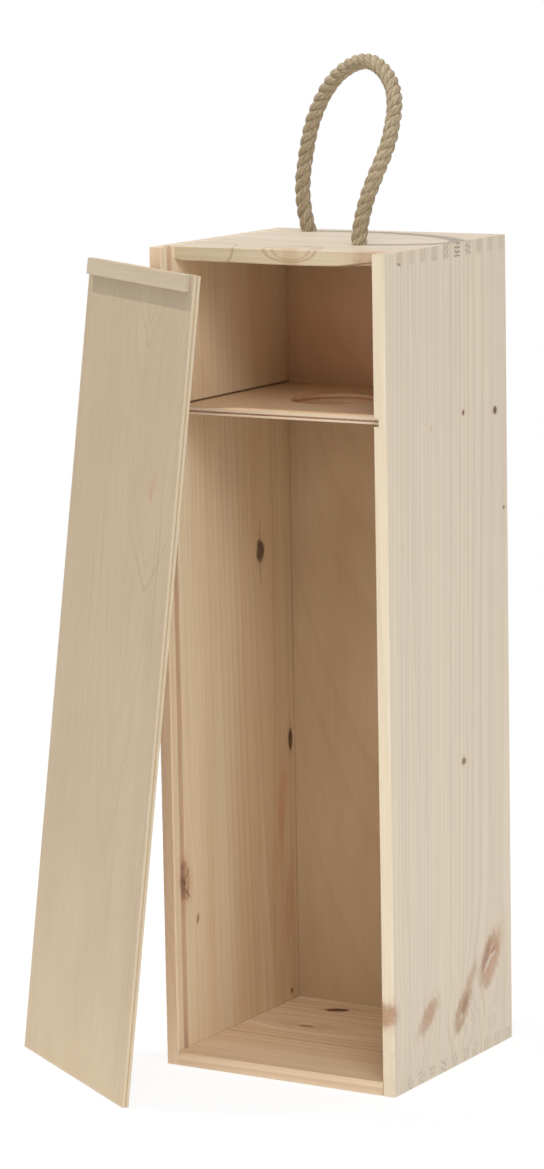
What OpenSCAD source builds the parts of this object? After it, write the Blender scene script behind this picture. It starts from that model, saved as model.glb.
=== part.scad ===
// Upright wooden box for one bottle, with a plywood front lid that slides down two grooves.
// The lid stands taken out and leans on the box's front left corner edge.
// Frame: +X right and -Y front as seen by someone facing the open front, +Z up.
// The origin is the middle of the box's underside. All sizes are in millimetres.

/* [Box] */
// Outer width of the box
box_w = 115; // [100:1:150]
// Outer depth of the box, front to back
box_d = 108; // [95:1:150]
// Outer height of the box
box_h = 360; // [330:1:400]
// Thickness of the two side boards
side_t = 6; // [5.5:0.5:10]
// Thickness of the top board
top_t = 6; // [5:0.5:12]
// Thickness of the bottom board
bottom_t = 6; // [5:0.5:12]
// Small flat planed on the long edges that the hand meets
edge_ease = 0.5; // [0.2:0.1:1]

/* [Finger joints] */
// Width of one finger, and of the gap beside it
finger_w = 5; // [4:0.5:8]
// Distance from the box's front to the top board's front edge and the first finger
top_setback = 11; // [10:0.5:20]
// Least width of the side board's own last finger at the back
last_finger = 2; // [1.5:0.5:4]

/* [Back] */
// Thickness of the plywood back
back_t = 3; // [2.5:0.5:5]
// How far the back laps over the boards, in their rebate
back_lap = 3; // [2.5:0.5:4]
// Clearance round the back in its rebate
back_gap = 0.2; // [0.1:0.1:0.5]

/* [Brads] */
// Diameter of a brad's shank
brad_d = 1.2; // [1:0.1:1.6]
// Diameter of a brad's head
brad_head_d = 2.4; // [2:0.1:3]
// Thickness of a brad's head
brad_head_t = 0.6; // [0.4:0.1:1]
// Length of a brad under its head
brad_l = 15; // [10:1:20]
// Number of brads down each side
brads_per_side = 4; // [2:1:6]
// Distance of the first and last brad from the box's ends
brad_inset = 40; // [20:5:60]
// Distance of the top and bottom brads from the middle
brad_half_span = 26; // [15:1:40]

/* [Lid] */
// Thickness of the plywood lid
lid_t = 3; // [2.5:0.5:4]
// Thickness of the lip in front of the groove
lip_t = 5; // [4:0.5:5.5]
// Depth of the groove in each side board
groove_depth = 3.5; // [2.5:0.5:4]
// How much wider the groove is than the lid is thick
groove_gap = 0.4; // [0.2:0.1:0.5]
// Clearance between the lid's edge and the groove's floor
lid_side_gap = 0.5; // [0.3:0.1:1]

/* [Batten] */
// Height of the finger batten along the lid's top
batten_h = 7; // [5:0.5:12]
// How far the batten stands off the lid
batten_t = 3; // [2:0.5:4]
// Clearance between the batten's end and the lip
batten_gap = 0.75; // [0.5:0.25:2]

/* [Neck shelf] */
// Thickness of the plywood shelf
shelf_t = 3; // [2.5:0.5:4]
// Distance from the box's top down to the shelf's underside
shelf_drop = 72; // [50:1:120]
// Depth of the saw kerf that holds each end of the shelf
kerf_depth = 2.5; // [1.5:0.5:3.5]
// How much taller the kerf is than the shelf is thick
kerf_gap = 0.8; // [0.3:0.1:1.5]
// Clearance at the shelf's ends and behind it
shelf_gap = 0.2; // [0.1:0.1:0.5]
// Diameter of the hole for the bottle's neck
neck_hole_d = 38; // [30:1:50]

/* [Rope handle] */
// Diameter of the rope
rope_d = 7; // [6:0.5:8]
// Radial clearance of the rope in its holes
rope_hole_gap = 0.1; // [0.1:0.1:0.5]
// Running gap between the swinging loop and the rope's glued ends
rope_gap = 0.3; // [0.3:0.1:0.6]

/* [Leaning lid] */
// Turn of the leaning lid about the upright, towards the box's left
lean_yaw = 33.4; // [20:0.1:45]
// Tilt of the leaning lid from the upright
lean_tilt = 6.8; // [4:0.1:12]
// Distance from the lid's left edge to the corner edge that it leans on
lean_contact = 55.5; // [40:0.5:70]
// Gap left between the lid and that corner edge
lean_gap = 0.3; // [0.3:0.1:1]

/* [Hidden] */
// Half sizes of the box, and its inner faces
half_w = box_w / 2;
half_d = box_d / 2;
inner_half_w = half_w - side_t;
front_y = -half_d;
top_front_y = front_y + top_setback;
back_inner_y = half_d - back_t;
top_under_z = box_h - top_t;

// Groove for the lid, and the lid that fits it
groove_front_y = front_y + lip_t;
groove_back_y = groove_front_y + lid_t + groove_gap;
lid_w = 2 * (inner_half_w + groove_depth - lid_side_gap);
lid_h = box_h - bottom_t;
batten_w = 2 * (inner_half_w - batten_gap);

// Kerf for the shelf, and the shelf that fits it
shelf_z = box_h - shelf_drop;
kerf_h = shelf_t + kerf_gap;
shelf_half_w = inner_half_w + kerf_depth - shelf_gap;
shelf_front_y = groove_back_y + shelf_gap;
shelf_back_y = back_inner_y - shelf_gap;
neck_hole_y = (groove_back_y + back_inner_y) / 2;

// Rebate for the back
rebate_half_w = inner_half_w + back_lap;
rebate_low_z = bottom_t - back_lap;
rebate_high_z = top_under_z + back_lap;

// Fingers start at the top board's front edge and repeat towards the back
finger_pitch = 2 * finger_w;
finger_count = floor((box_d - last_finger - top_setback - finger_w) / finger_pitch) + 1;

// Brads: their places on the back, as [x, z], in the middle of the rebate's ledges
brad_x = inner_half_w + back_lap / 2;
brad_step = (box_h - 2 * brad_inset) / (brads_per_side - 1);
brad_places = concat(
    [for (s = [-1, 1], i = [0 : brads_per_side - 1]) [s * brad_x, brad_inset + i * brad_step]],
    [for (s = [-1, 1], z = [bottom_t - back_lap / 2, top_under_z + back_lap / 2])
        [s * brad_half_span, z]]
);
brad_hole_gap = 0.05;
brad_head_gap = 0.1;

// The rope's middle line as [x, y, height above the box's top], from the hole near the back left
// corner to the hole near the front right one. The loop stands by its own stiffness and leans to the right.
rope_route = [
    [-34, 41, 3.8], [-36, 40, 16], [-35.5, 40, 28], [-33, 40.5, 40], [-28.5, 39.5, 52],
    [-20, 37, 64], [-8.5, 32.5, 72], [4, 26, 75.5], [16, 18, 73.5], [25, 11, 67.5],
    [31, 4.5, 59.5], [33, -1, 50.5], [32.5, -5.5, 41], [30.5, -9, 31], [27.5, -11.5, 21.5],
    [24.5, -13.5, 12.5], [23, -14, 3.8]
];
rope_last = len(rope_route) - 1;
rope_holes = [rope_route[0], rope_route[rope_last]];
rope_sides = 12;
// Angles of the rings that round off each end of the loop
rope_end_angles = [30, 60, 82];

// Overrun of a cutting tool past the face it cuts
cut = 1;
$fn = 64;

pine = "#DCCBAE";
pine_end = "#D2BE9C";
plywood = "#D3C1A5";
hemp = "#9F8A66";
steel = "#A9A9A6";

// Box given by its lowest and highest corner
module block(low, high) {
    translate(low) cube(high - low);
}

// Outline of a board with its two front or outer corners eased, w along X and t along Y
function eased_outline(w, t, e) = [
    [e, 0], [w - e, 0], [w, e], [w, t - e], [w - e, t], [e, t], [0, t - e], [0, e]
];

// Plan outline of the right side board with its front lip and the groove for the lid
function side_outline() = [
    [inner_half_w + edge_ease, front_y],
    [half_w - edge_ease, front_y],
    [half_w, front_y + edge_ease],
    [half_w, half_d - edge_ease],
    [half_w - edge_ease, half_d],
    [inner_half_w, half_d],
    [inner_half_w, groove_back_y],
    [inner_half_w + groove_depth, groove_back_y],
    [inner_half_w + groove_depth, groove_front_y],
    [inner_half_w, groove_front_y],
    [inner_half_w, front_y + edge_ease]
];

// The row of fingers that a top or bottom board passes through one side board, between two heights
module finger_row(low_z, high_z, inner_x, outer_x) {
    for (i = [0 : finger_count - 1]) {
        y = top_front_y + i * finger_pitch;
        block([inner_x, y, low_z], [outer_x, y + finger_w, high_z]);
    }
}

// Space that the plywood back fills, cut out of every board round it
module back_rebate() {
    block([-rebate_half_w, back_inner_y, rebate_low_z],
          [rebate_half_w, half_d + cut, rebate_high_z]);
}

// Pilot holes for the brads, of a given radius, from the back face to a depth
module brad_holes(radius, depth) {
    for (p = brad_places)
        translate([p[0], half_d + cut, p[1]])
            rotate([90, 0, 0]) cylinder(r = radius, h = depth + cut, $fn = 24);
}

// Right side board, standing grain, full height
module right_board() {
    difference() {
        linear_extrude(box_h) polygon(side_outline());
        finger_row(top_under_z, box_h + cut, inner_half_w - cut, half_w + cut);
        finger_row(-cut, bottom_t, inner_half_w - cut, half_w + cut);
        block([inner_half_w - cut, front_y - cut, shelf_z],
              [inner_half_w + kerf_depth, half_d + cut, shelf_z + kerf_h]);
        back_rebate();
        brad_holes(brad_d / 2 + brad_hole_gap, brad_l + brad_head_t);
    }
}

module right_side() {
    color(pine) right_board();
}

module left_side() {
    color(pine) mirror([1, 0, 0]) right_board();
}

// Top board: set back from the front, so that the lid can slide down past it
module top_panel() {
    color(pine_end) difference() {
        union() {
            translate([-inner_half_w, top_front_y, top_under_z])
                rotate([90, 0, 90])
                    linear_extrude(2 * inner_half_w)
                        polygon(eased_outline(half_d - top_front_y, top_t, edge_ease));
            finger_row(top_under_z, box_h, inner_half_w, half_w);
            finger_row(top_under_z, box_h, -half_w, -inner_half_w);
        }
        back_rebate();
        brad_holes(brad_d / 2 + brad_hole_gap, brad_l + brad_head_t);
        for (p = rope_holes)
            translate([p[0], p[1], top_under_z - cut])
                cylinder(d = rope_d + 2 * rope_hole_gap, h = top_t + 2 * cut);
    }
}

// Bottom board: flush with the front, and the lid stands on it
module bottom_panel() {
    color(pine_end) difference() {
        union() {
            block([-inner_half_w, front_y, 0], [inner_half_w, half_d, bottom_t]);
            finger_row(0, bottom_t, inner_half_w, half_w);
            finger_row(0, bottom_t, -half_w, -inner_half_w);
        }
        back_rebate();
        brad_holes(brad_d / 2 + brad_hole_gap, brad_l + brad_head_t);
    }
}

// Plywood back in the rebate
module back_panel() {
    color(plywood) difference() {
        block([-rebate_half_w + back_gap, back_inner_y, rebate_low_z + back_gap],
              [rebate_half_w - back_gap, half_d, rebate_high_z - back_gap]);
        brad_holes(brad_d / 2 + brad_hole_gap, back_t + cut);
        brad_holes(brad_head_d / 2 + brad_head_gap, brad_head_t);
    }
}

// Steel brads that hold the back, heads flush with it
module back_brads() {
    color(steel)
        for (p = brad_places)
            translate([p[0], half_d, p[1]]) rotate([90, 0, 0]) {
                cylinder(d = brad_head_d, h = brad_head_t, $fn = 24);
                cylinder(d = brad_d, h = brad_l + brad_head_t, $fn = 24);
            }
}

// Loose plywood shelf whose hole keeps the bottle's neck upright
module neck_shelf() {
    color(plywood) difference() {
        block([-shelf_half_w, shelf_front_y, shelf_z],
              [shelf_half_w, shelf_back_y, shelf_z + shelf_t]);
        translate([0, neck_hole_y, shelf_z - cut])
            cylinder(d = neck_hole_d, h = shelf_t + 2 * cut);
    }
}

// Puts a lid piece, drawn upright with its back face at y = 0 and its left edge at x = 0,
// where the lid leans: its top back edge meets the box's front left corner edge
module leaning() {
    translate([-half_w, -half_d, 0])
        rotate([0, 0, -lean_yaw])
            translate([-lean_contact, -lean_gap - lid_h * sin(lean_tilt), 0])
                rotate([-lean_tilt, 0, 0])
                    children();
}

// Plywood lid, drawn upright
module lid_panel() {
    color(plywood) leaning()
        translate([0, -lid_t, 0]) cube([lid_w, lid_t, lid_h]);
}

// Batten glued along the lid's top, for the fingers to lift it by
module lid_batten() {
    color(pine_end) leaning()
        translate([(lid_w - batten_w) / 2, -lid_t - batten_t, lid_h - batten_h])
            cube([batten_w, batten_t, batten_h]);
}

// Unit vector along v
function unit(v) = v / norm(v);

// The rope's direction at point i of its route: straight up out of each hole
function rope_way(i) =
    i == 0 ? [0, 0, 1] :
    i == rope_last ? [0, 0, -1] :
    unit(rope_route[i + 1] - rope_route[i - 1]);

// Level direction square to the line through both holes, which the loop never runs along
hole_line = unit(rope_holes[1] - rope_holes[0]);
loop_side = [-hole_line[1], hole_line[0], 0];

// One ring of points round a centre, square to the direction way
function rope_ring(centre, way, radius) =
    let (a = unit(loop_side - (loop_side * way) * way), b = cross(way, a))
    [for (k = [0 : rope_sides - 1])
        let (turn = 360 * k / rope_sides)
        centre + radius * (cos(turn) * a + sin(turn) * b)];

// Rings of the loop in order: a rounded foot, the route, and the other rounded foot
rope_rings = concat(
    [for (j = [len(rope_end_angles) - 1 : -1 : 0])
        rope_ring(rope_route[0] - [0, 0, rope_d / 2 * sin(rope_end_angles[j])],
                  rope_way(0), rope_d / 2 * cos(rope_end_angles[j]))],
    [for (i = [0 : rope_last]) rope_ring(rope_route[i], rope_way(i), rope_d / 2)],
    [for (a = rope_end_angles)
        rope_ring(rope_route[rope_last] - [0, 0, rope_d / 2 * sin(a)],
                  rope_way(rope_last), rope_d / 2 * cos(a))]
);

// Closed tube through a list of rings, all with the same number of points
module tube(rings) {
    n = len(rings[0]);
    last = len(rings) - 1;
    points = [for (r = rings, p = r) p];
    faces = concat(
        [[for (k = [0 : n - 1]) k]],
        [for (i = [0 : last - 1], k = [0 : n - 1])
            let (a = i * n + k, b = i * n + (k + 1) % n)
            [b, a, a + n]],
        [for (i = [0 : last - 1], k = [0 : n - 1])
            let (a = i * n + k, b = i * n + (k + 1) % n)
            [b, a + n, b + n]],
        [[for (k = [n - 1 : -1 : 0]) last * n + k]]
    );
    polyhedron(points, faces);
}

// Loop of three-strand rope that swings about the line through its two feet
module rope_handle() {
    color(hemp) translate([0, 0, box_h]) tube(rope_rings);
}

// The rope's two ends, glued in the top board's holes
module rope_ends() {
    color(hemp)
        for (p = rope_holes)
            translate([p[0], p[1], top_under_z]) cylinder(d = rope_d, h = top_t);
}

left_side();
right_side();
top_panel();
bottom_panel();
back_panel();
back_brads();
neck_shelf();
lid_panel();
lid_batten();
rope_handle();
rope_ends();
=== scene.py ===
# %% [markdown]
# # An upright wooden wine box
#
# The box is thin softwood boards, finger-jointed at top and bottom, with a plywood front lid that
# slides down two grooves. Here the lid is out and leans on the box's front left corner. The solids
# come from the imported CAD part. This file dresses them: wood that shows its rings and knots, plywood
# that shows its plies on its edges, and a rope that is really laid from three strands.

# %% Tools and the fixed frame
import math

import bmesh
import bpy
import numpy as np
from mathutils import Matrix, Vector


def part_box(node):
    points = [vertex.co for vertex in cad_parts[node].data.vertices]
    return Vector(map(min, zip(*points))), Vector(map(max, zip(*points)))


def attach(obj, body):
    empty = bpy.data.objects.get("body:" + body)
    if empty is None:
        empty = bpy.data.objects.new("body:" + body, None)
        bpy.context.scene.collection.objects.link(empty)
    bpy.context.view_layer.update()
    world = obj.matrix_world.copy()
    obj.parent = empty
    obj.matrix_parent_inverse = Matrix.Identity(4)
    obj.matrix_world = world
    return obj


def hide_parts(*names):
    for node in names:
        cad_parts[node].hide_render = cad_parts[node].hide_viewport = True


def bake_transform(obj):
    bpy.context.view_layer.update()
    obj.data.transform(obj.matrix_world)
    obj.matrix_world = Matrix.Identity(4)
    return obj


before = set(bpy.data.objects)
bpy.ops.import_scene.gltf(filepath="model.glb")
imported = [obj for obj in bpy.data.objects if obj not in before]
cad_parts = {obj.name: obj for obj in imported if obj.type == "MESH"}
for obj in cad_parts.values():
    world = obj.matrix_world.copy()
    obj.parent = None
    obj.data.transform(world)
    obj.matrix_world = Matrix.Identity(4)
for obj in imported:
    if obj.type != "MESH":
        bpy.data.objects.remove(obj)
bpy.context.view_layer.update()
MM = 0.001


def corners(node):
    """The lowest and the highest corner of a CAD node in millimetres, to a hundredth."""
    return [[round(v / MM, 2) for v in corner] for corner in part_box(node)]


def halfway(node, axis):
    """The place halfway through a CAD node along one axis, in millimetres."""
    low, high = corners(node)
    return (low[axis] + high[axis]) / 2


box_left, box_front, box_foot = corners("left_side")[0]
(inner_right, _, _), (box_right, _, _) = corners("right_side")
_, top_front, top_under = corners("top_panel")[0]
print("nodes:", ", ".join(sorted(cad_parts)))
print("box from", box_left, "to", box_right, "front at", box_front, "top board's front at", top_front)

# %% [markdown]
# ## Camera
#
# The photograph was taken from the front right, a little above the box, with a long lens. A camera
# could be set by eye, but these few numbers were fitted to the box's corners. They are given the
# way a photographer would say it: how far round (degrees), how far up, how far away (metres), and
# which point it looks at.

# %% Camera
AROUND, UP_ANGLE, ROLL = (math.radians(a) for a in (31.056, 9.4775, -1.0434))
DISTANCE = 1.81566
LOOKS_AT = Vector((-0.025768, -0.009762, 0.209537))
LONG_SIDE_PIXELS, FOCAL_PIXELS = 1169, 4148.06


def aim_camera():
    """The camera stands DISTANCE back along the line of sight, and rolls about that line."""
    back = Vector((math.sin(AROUND) * math.cos(UP_ANGLE), -math.cos(AROUND) * math.cos(UP_ANGLE),
                   math.sin(UP_ANGLE)))
    level = Vector((math.cos(AROUND), math.sin(AROUND), 0))
    upright = back.cross(level)
    right = math.cos(ROLL) * level + math.sin(ROLL) * upright
    above = math.cos(ROLL) * upright - math.sin(ROLL) * level
    data = bpy.data.cameras.new("camera")
    data.sensor_width = 36
    data.lens = FOCAL_PIXELS / LONG_SIDE_PIXELS * data.sensor_width
    data.clip_start, data.clip_end = 0.05, 60
    camera = bpy.data.objects.new("camera", data)
    camera.matrix_world = Matrix((right, above, back)).transposed().to_4x4()
    camera.location = LOOKS_AT + back * DISTANCE
    bpy.context.scene.collection.objects.link(camera)
    bpy.context.scene.camera = camera
    return camera


camera = aim_camera()
print("camera at", [round(v, 3) for v in camera.location], "lens", round(camera.data.lens, 1))

# %% [markdown]
# ## Helpers for materials
#
# Colours are written as sRGB hex values, as a paint chart gives them, and turned to linear once.
# One small function adds any shader node. Every wood pattern is worked out in the board's own
# space: x across the board, y through its thickness, z along the grain. Then one recipe serves
# standing and lying boards, and the same rings meet at an edge, as they do in real wood.

# %% Colour and node helpers


def tint(code):
    """sRGB hex to linear: c / 12.92 below 0.04045, else ((c + 0.055) / 1.055) ** 2.4."""
    parts = [int(code[i:i + 2], 16) / 255 for i in (1, 3, 5)]
    return [c / 12.92 if c < 0.04045 else ((c + 0.055) / 1.055) ** 2.4 for c in parts] + [1.0]


def add(tree, kind, *sources, **settings):
    """One node of a kind. Sources fill its usable sockets in order, those in "at" go by name.

    A source is a value, a socket, or a node, which then gives its first usable output.
    """
    made = tree.nodes.new("ShaderNode" + kind)
    named = settings.pop("at", {})
    for key, value in settings.items():
        setattr(made, key, value)
    usable = [s for s in made.inputs if s.enabled]
    pairs = list(zip(usable, sources)) + [(made.inputs[key], s) for key, s in named.items()]
    for socket, source in pairs:
        if isinstance(source, bpy.types.Node):
            source = next(s for s in source.outputs if s.enabled)
        if isinstance(source, bpy.types.NodeSocket):
            tree.links.new(source, socket)
        elif source is not None:
            socket.default_value = source
    return made


def new_material(name):
    """A material with an empty node tree, and that tree."""
    material = bpy.data.materials.new(name)
    material.use_nodes = True
    material.node_tree.nodes.clear()
    return material, material.node_tree


def finish_material(tree, colour, roughness, height, relief, sheen=0.0):
    """A principled surface with that colour, roughness and bump, relief in metres."""
    bump = add(tree, "Bump", at={"Height": height, "Distance": relief, "Strength": 1.0})
    skin = add(tree, "BsdfPrincipled", at={"Base Color": colour, "Roughness": roughness,
                                           "Normal": bump, "IOR": 1.5, "Specular IOR Level": 0.3,
                                           "Sheen Weight": sheen})
    add(tree, "OutputMaterial", skin)


def dress(node, material):
    """Gives a CAD node its material."""
    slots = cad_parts[node].data.materials
    slots.clear()
    slots.append(material)
    print(node, "is", material.name, "with", len(material.node_tree.nodes), "nodes")


# %% Board space, and the patterns that all the wood shares


def board_space(tree, origin, across, along):
    """Object coordinates seen from a board: x across it, z along its grain, y = z cross x."""
    x, z = Vector(across), Vector(along)
    turn = Matrix((x, z.cross(x), z)).transposed().to_euler()
    return add(tree, "Mapping", add(tree, "TexCoord").outputs["Object"],
               list(Vector(origin) * MM), list(turn), vector_type="TEXTURE")


def facing(tree, way):
    """How much the surface faces a way: the cosine of the angle between that way and its normal."""
    normal = add(tree, "TexCoord").outputs["Normal"]
    return add(tree, "VectorMath", normal, list(way), operation="DOT_PRODUCT")


def grain_noise(tree, space, repeats, detail, roughness):
    """Noise that repeats so many times per metre across, through and along the board."""
    stretched = add(tree, "Mapping", space, None, None, repeats)
    return add(tree, "TexNoise", stretched, 1.0, detail, roughness, noise_dimensions="3D")


def ellipse(tree, space, x, z, wide, tall, slant=0):
    """The board seen from an ellipse on its face, and the distance from its middle in its radii."""
    local = add(tree, "Mapping", space, [x * MM, 0, z * MM], [0, math.radians(slant), 0],
                [wide * MM, 1, tall * MM], vector_type="TEXTURE")
    return local, add(tree, "VectorMath", local, operation="LENGTH")


def bell(tree, off, reach=1.0):
    """exp(-(off / reach) ** 2): 1 where off is 0, and dying away on both sides."""
    squared = add(tree, "Math", off, off, operation="MULTIPLY")
    fall = add(tree, "Math", squared, -1 / reach ** 2, operation="MULTIPLY")
    return add(tree, "Math", fall, operation="EXPONENT")


def within(tree, amount, where, low, high, soft):
    """The amount where a place lies from low to high, in millimetres, with edges that soft."""
    for at, beyond in ((low, 1.0), (high, 0.0)):
        step = add(tree, "MapRange", where, (at - soft) * MM, (at + soft) * MM, 1.0 - beyond, beyond)
        amount = add(tree, "Math", amount, step, operation="MULTIPLY")
    return amount


def late_wood(tree, year, rise_from, rise_to, fall_from, faintest):
    """The dark part of each year: it rises slowly, ends sharply, and is faint in some years."""
    season = add(tree, "Math", year, operation="FRACT")
    rise = add(tree, "MapRange", season, rise_from, rise_to, 0.0, 1.0, interpolation_type="SMOOTHSTEP")
    fall = add(tree, "MapRange", season, fall_from, 1.0, 1.0, 0.0, interpolation_type="SMOOTHSTEP")
    count = add(tree, "Math", year, operation="FLOOR")
    luck = add(tree, "TexWhiteNoise", count, noise_dimensions="1D")
    weight = add(tree, "MapRange", luck, 0.0, 1.0, faintest, 1.0)
    late = add(tree, "Math", rise, fall, operation="MULTIPLY")
    return add(tree, "Math", late, weight, operation="MULTIPLY")


def shade_fibres(tree, colour, fibre, dark, bright):
    """The colour times a grey from dark to bright that follows the fibres."""
    grey = add(tree, "MapRange", fibre, 0.3, 0.7, dark, bright)
    return add(tree, "Mix", 1.0, colour, add(tree, "CombineColor", grey, grey, grey),
               data_type="RGBA", blend_type="MULTIPLY")


# %% [markdown]
# ## Softwood boards
#
# Spruce shows a pale early wood and, at each year's end, a thin darker line. A wave texture could
# draw such lines, but they wouldn't meet at the board's edges. Here the rings are circles round
# the pith, cut by the board, so the distance from the pith gives straight lines on one face, tall
# arches on another and arcs on the ends, with no painting. Knots push the rings aside: each is a
# small ellipse that bends the space round it before the rings are drawn.

# %% Rings and knots
KNOT_EDGE, KNOT_RINGS, KNOT_RING_TINT = 0.95, 0.35, "#9A7660"


def knots_in(tree, space, knots):
    """For each knot the distance from its middle in knot radii, and the sideways push on the grain.

    The push is (x - knot x) * strength * exp(-(distance / reach) ** 2), summed over the knots.
    """
    distances, push = [], None
    for knot in knots:
        local, distance = ellipse(tree, space, *knot["place"])
        side = add(tree, "SeparateXYZ", local).outputs["X"]
        knot_wide = knot["place"][2]
        strength = add(tree, "Math", bell(tree, distance, knot.get("reach", 2.2)),
                       knot_wide * MM * knot.get("push", 0.7), operation="MULTIPLY")
        moved = add(tree, "Math", side, strength, operation="MULTIPLY")
        push = moved if push is None else add(tree, "Math", push, moved, operation="ADD")
        distances.append((knot, distance))
    return distances, push


def rings_of(tree, space, wood, push):
    """How dark the late wood is; year = (distance from the pith + wander + bumps) / ring width."""
    wander = grain_noise(tree, space, wood.get("wander_repeats", [18, 18, 2.2]), 2.0, 0.5)
    drift = add(tree, "Math", wander, 2 * wood["wander"] * MM, -wood["wander"] * MM,
                operation="MULTIPLY_ADD")
    if push is not None:
        shift = add(tree, "CombineXYZ", push, 0.0, 0.0)
        space = add(tree, "VectorMath", space, shift, operation="SUBTRACT")
    lean_x, lean_y = wood.get("lean", (0.0, 0.0))
    axes = add(tree, "SeparateXYZ", space)
    x = add(tree, "Math", axes.outputs["Z"], -lean_x, axes.outputs["X"], operation="MULTIPLY_ADD")
    y = add(tree, "Math", axes.outputs["Z"], -lean_y, axes.outputs["Y"], operation="MULTIPLY_ADD")
    pith = [v * MM for v in wood["pith"]] + [0]
    out = add(tree, "VectorMath", add(tree, "CombineXYZ", x, y, 0.0), pith, operation="DISTANCE")
    radius = add(tree, "Math", out, drift, operation="ADD")
    for *place, lift in wood.get("bumps", ()):
        _, distance = ellipse(tree, space, *place)
        radius = add(tree, "Math", bell(tree, distance), lift * MM, radius, operation="MULTIPLY_ADD")
    year = add(tree, "Math", radius, wood["ring"] * MM, operation="DIVIDE")
    uneven = add(tree, "TexNoise", year, 0.37, 1.0, 0.5, noise_dimensions="1D")
    year = add(tree, "Math", uneven, wood.get("uneven", 1.8), year, operation="MULTIPLY_ADD")
    return late_wood(tree, year, wood.get("late_from", 0.25), 0.9, 0.93, 0.35)


def paint_knot(tree, colour, knot, distance, ripple, patchy):
    """Halo outside, a broken dark rim, rings inside, and a heart; each a band of the distance."""
    rough, soft = knot.get("rough", 0.9), knot.get("soft", 0.2)
    edge = add(tree, "Math", ripple, rough, distance, operation="MULTIPLY_ADD")
    edge = add(tree, "Math", edge, -0.5 * rough, operation="ADD")
    halo, core, rim_in, rim_out, heart = (
        add(tree, "MapRange", edge, *band, interpolation_type="SMOOTHSTEP") for band in (
            (0.7, knot.get("halo_reach", 2.4), knot.get("halo", 0.6), 0.0),
            (KNOT_EDGE - soft, KNOT_EDGE + soft, knot.get("core", 0.9), 0.0),
            (0.6, KNOT_EDGE, 0.0, knot.get("rim", 0.0)),
            (1.0, 1.3, 1.0, 0.0),
            (0.2, 0.55, knot.get("heart", 0.0), 0.0)))
    spots = add(tree, "MapRange", patchy, 0.36, 0.6, 0.25, 1.0)
    turns = add(tree, "Math", edge, knot.get("turns", 3.0) * math.tau, operation="MULTIPLY")
    rings = add(tree, "Math", add(tree, "Math", turns, operation="SINE"), core, operation="MULTIPLY")
    rim = add(tree, "Math", rim_in, rim_out, operation="MULTIPLY")
    for amount, paint in (
            (add(tree, "Math", halo, spots, operation="MULTIPLY"), knot.get("halo_tint", "#C9A17C")),
            (core, knot["tint"]),
            (add(tree, "Math", rings, KNOT_RINGS, operation="MULTIPLY", use_clamp=True), KNOT_RING_TINT),
            (add(tree, "Math", rim, spots, operation="MULTIPLY"), knot.get("rim_tint", "#8C7158")),
            (heart, knot.get("heart_tint", "#3A2A20"))):
        colour = add(tree, "Mix", amount, colour, tint(paint), data_type="RGBA")
    return colour


# %% Marks that the saw, the grooves and single rings leave at the edges, and painted shade
# Lengths in mm, the steepest angle in radians, wobbles as shares of the noise.
FINGER_STEP = 10
STEEPEST_MARK, MARK_WOBBLE, MARK_TINT = 1.5, 9.0, "#75604E"
CUT_SOFT, LOOP_WOBBLE = 0.15, 0.12


def end_marks(tree, space, wobble, marks):
    """Torn grain on the fingers' ends: lines at each finger's own angle, strongest near one finger.

    finger = floor((x - top_front) / step), angle = lean * (peak - finger), at most the steepest,
    line = sin(2 pi (y cos angle - x sin angle) / pitch + wobble).
    """
    peak, spread, least, most, lean, pitch = marks
    axes = add(tree, "SeparateXYZ", space)
    place = add(tree, "Math", axes.outputs["X"], -top_front * MM, operation="ADD")
    place = add(tree, "Math", place, FINGER_STEP * MM, operation="DIVIDE")
    off = add(tree, "Math", add(tree, "Math", place, operation="FLOOR"), -peak, operation="ADD")
    angle = add(tree, "Math", off, -lean, operation="MULTIPLY")
    angle = add(tree, "Math", angle, STEEPEST_MARK, operation="MINIMUM")
    angle = add(tree, "Math", angle, -STEEPEST_MARK, operation="MAXIMUM")
    cosine, sine = (add(tree, "Math", angle, operation=wave) for wave in ("COSINE", "SINE"))
    up = add(tree, "Math", axes.outputs["Y"], cosine, operation="MULTIPLY")
    over = add(tree, "Math", axes.outputs["X"], sine, operation="MULTIPLY")
    phase = add(tree, "Math", add(tree, "Math", up, over, operation="SUBTRACT"), math.tau / (pitch * MM),
                add(tree, "Math", wobble, MARK_WOBBLE, operation="MULTIPLY"), operation="MULTIPLY_ADD")
    line = add(tree, "MapRange", add(tree, "Math", phase, operation="SINE"), 0.1, 0.9, 0.0, 1.0)
    near = bell(tree, add(tree, "Math", off, spread, operation="DIVIDE"))
    amount = add(tree, "Math", near, most, least, operation="MULTIPLY_ADD")
    return add(tree, "Math", line, amount, operation="MULTIPLY")


def paint_cuts(tree, space, colour, cuts):
    """Each cut is a box: spans of x, of z and of the depth below the outer face, with soft edges."""
    axes = add(tree, "SeparateXYZ", space)
    depth = add(tree, "Math", axes.outputs["Y"], operation="ABSOLUTE")
    for *spans, amount, paint in cuts:
        for where, (low, high) in zip((axes.outputs["X"], axes.outputs["Z"], depth), spans):
            amount = within(tree, amount, where, low, high, CUT_SOFT)
        colour = add(tree, "Mix", amount, colour, tint(paint), data_type="RGBA")
    return colour


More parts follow.
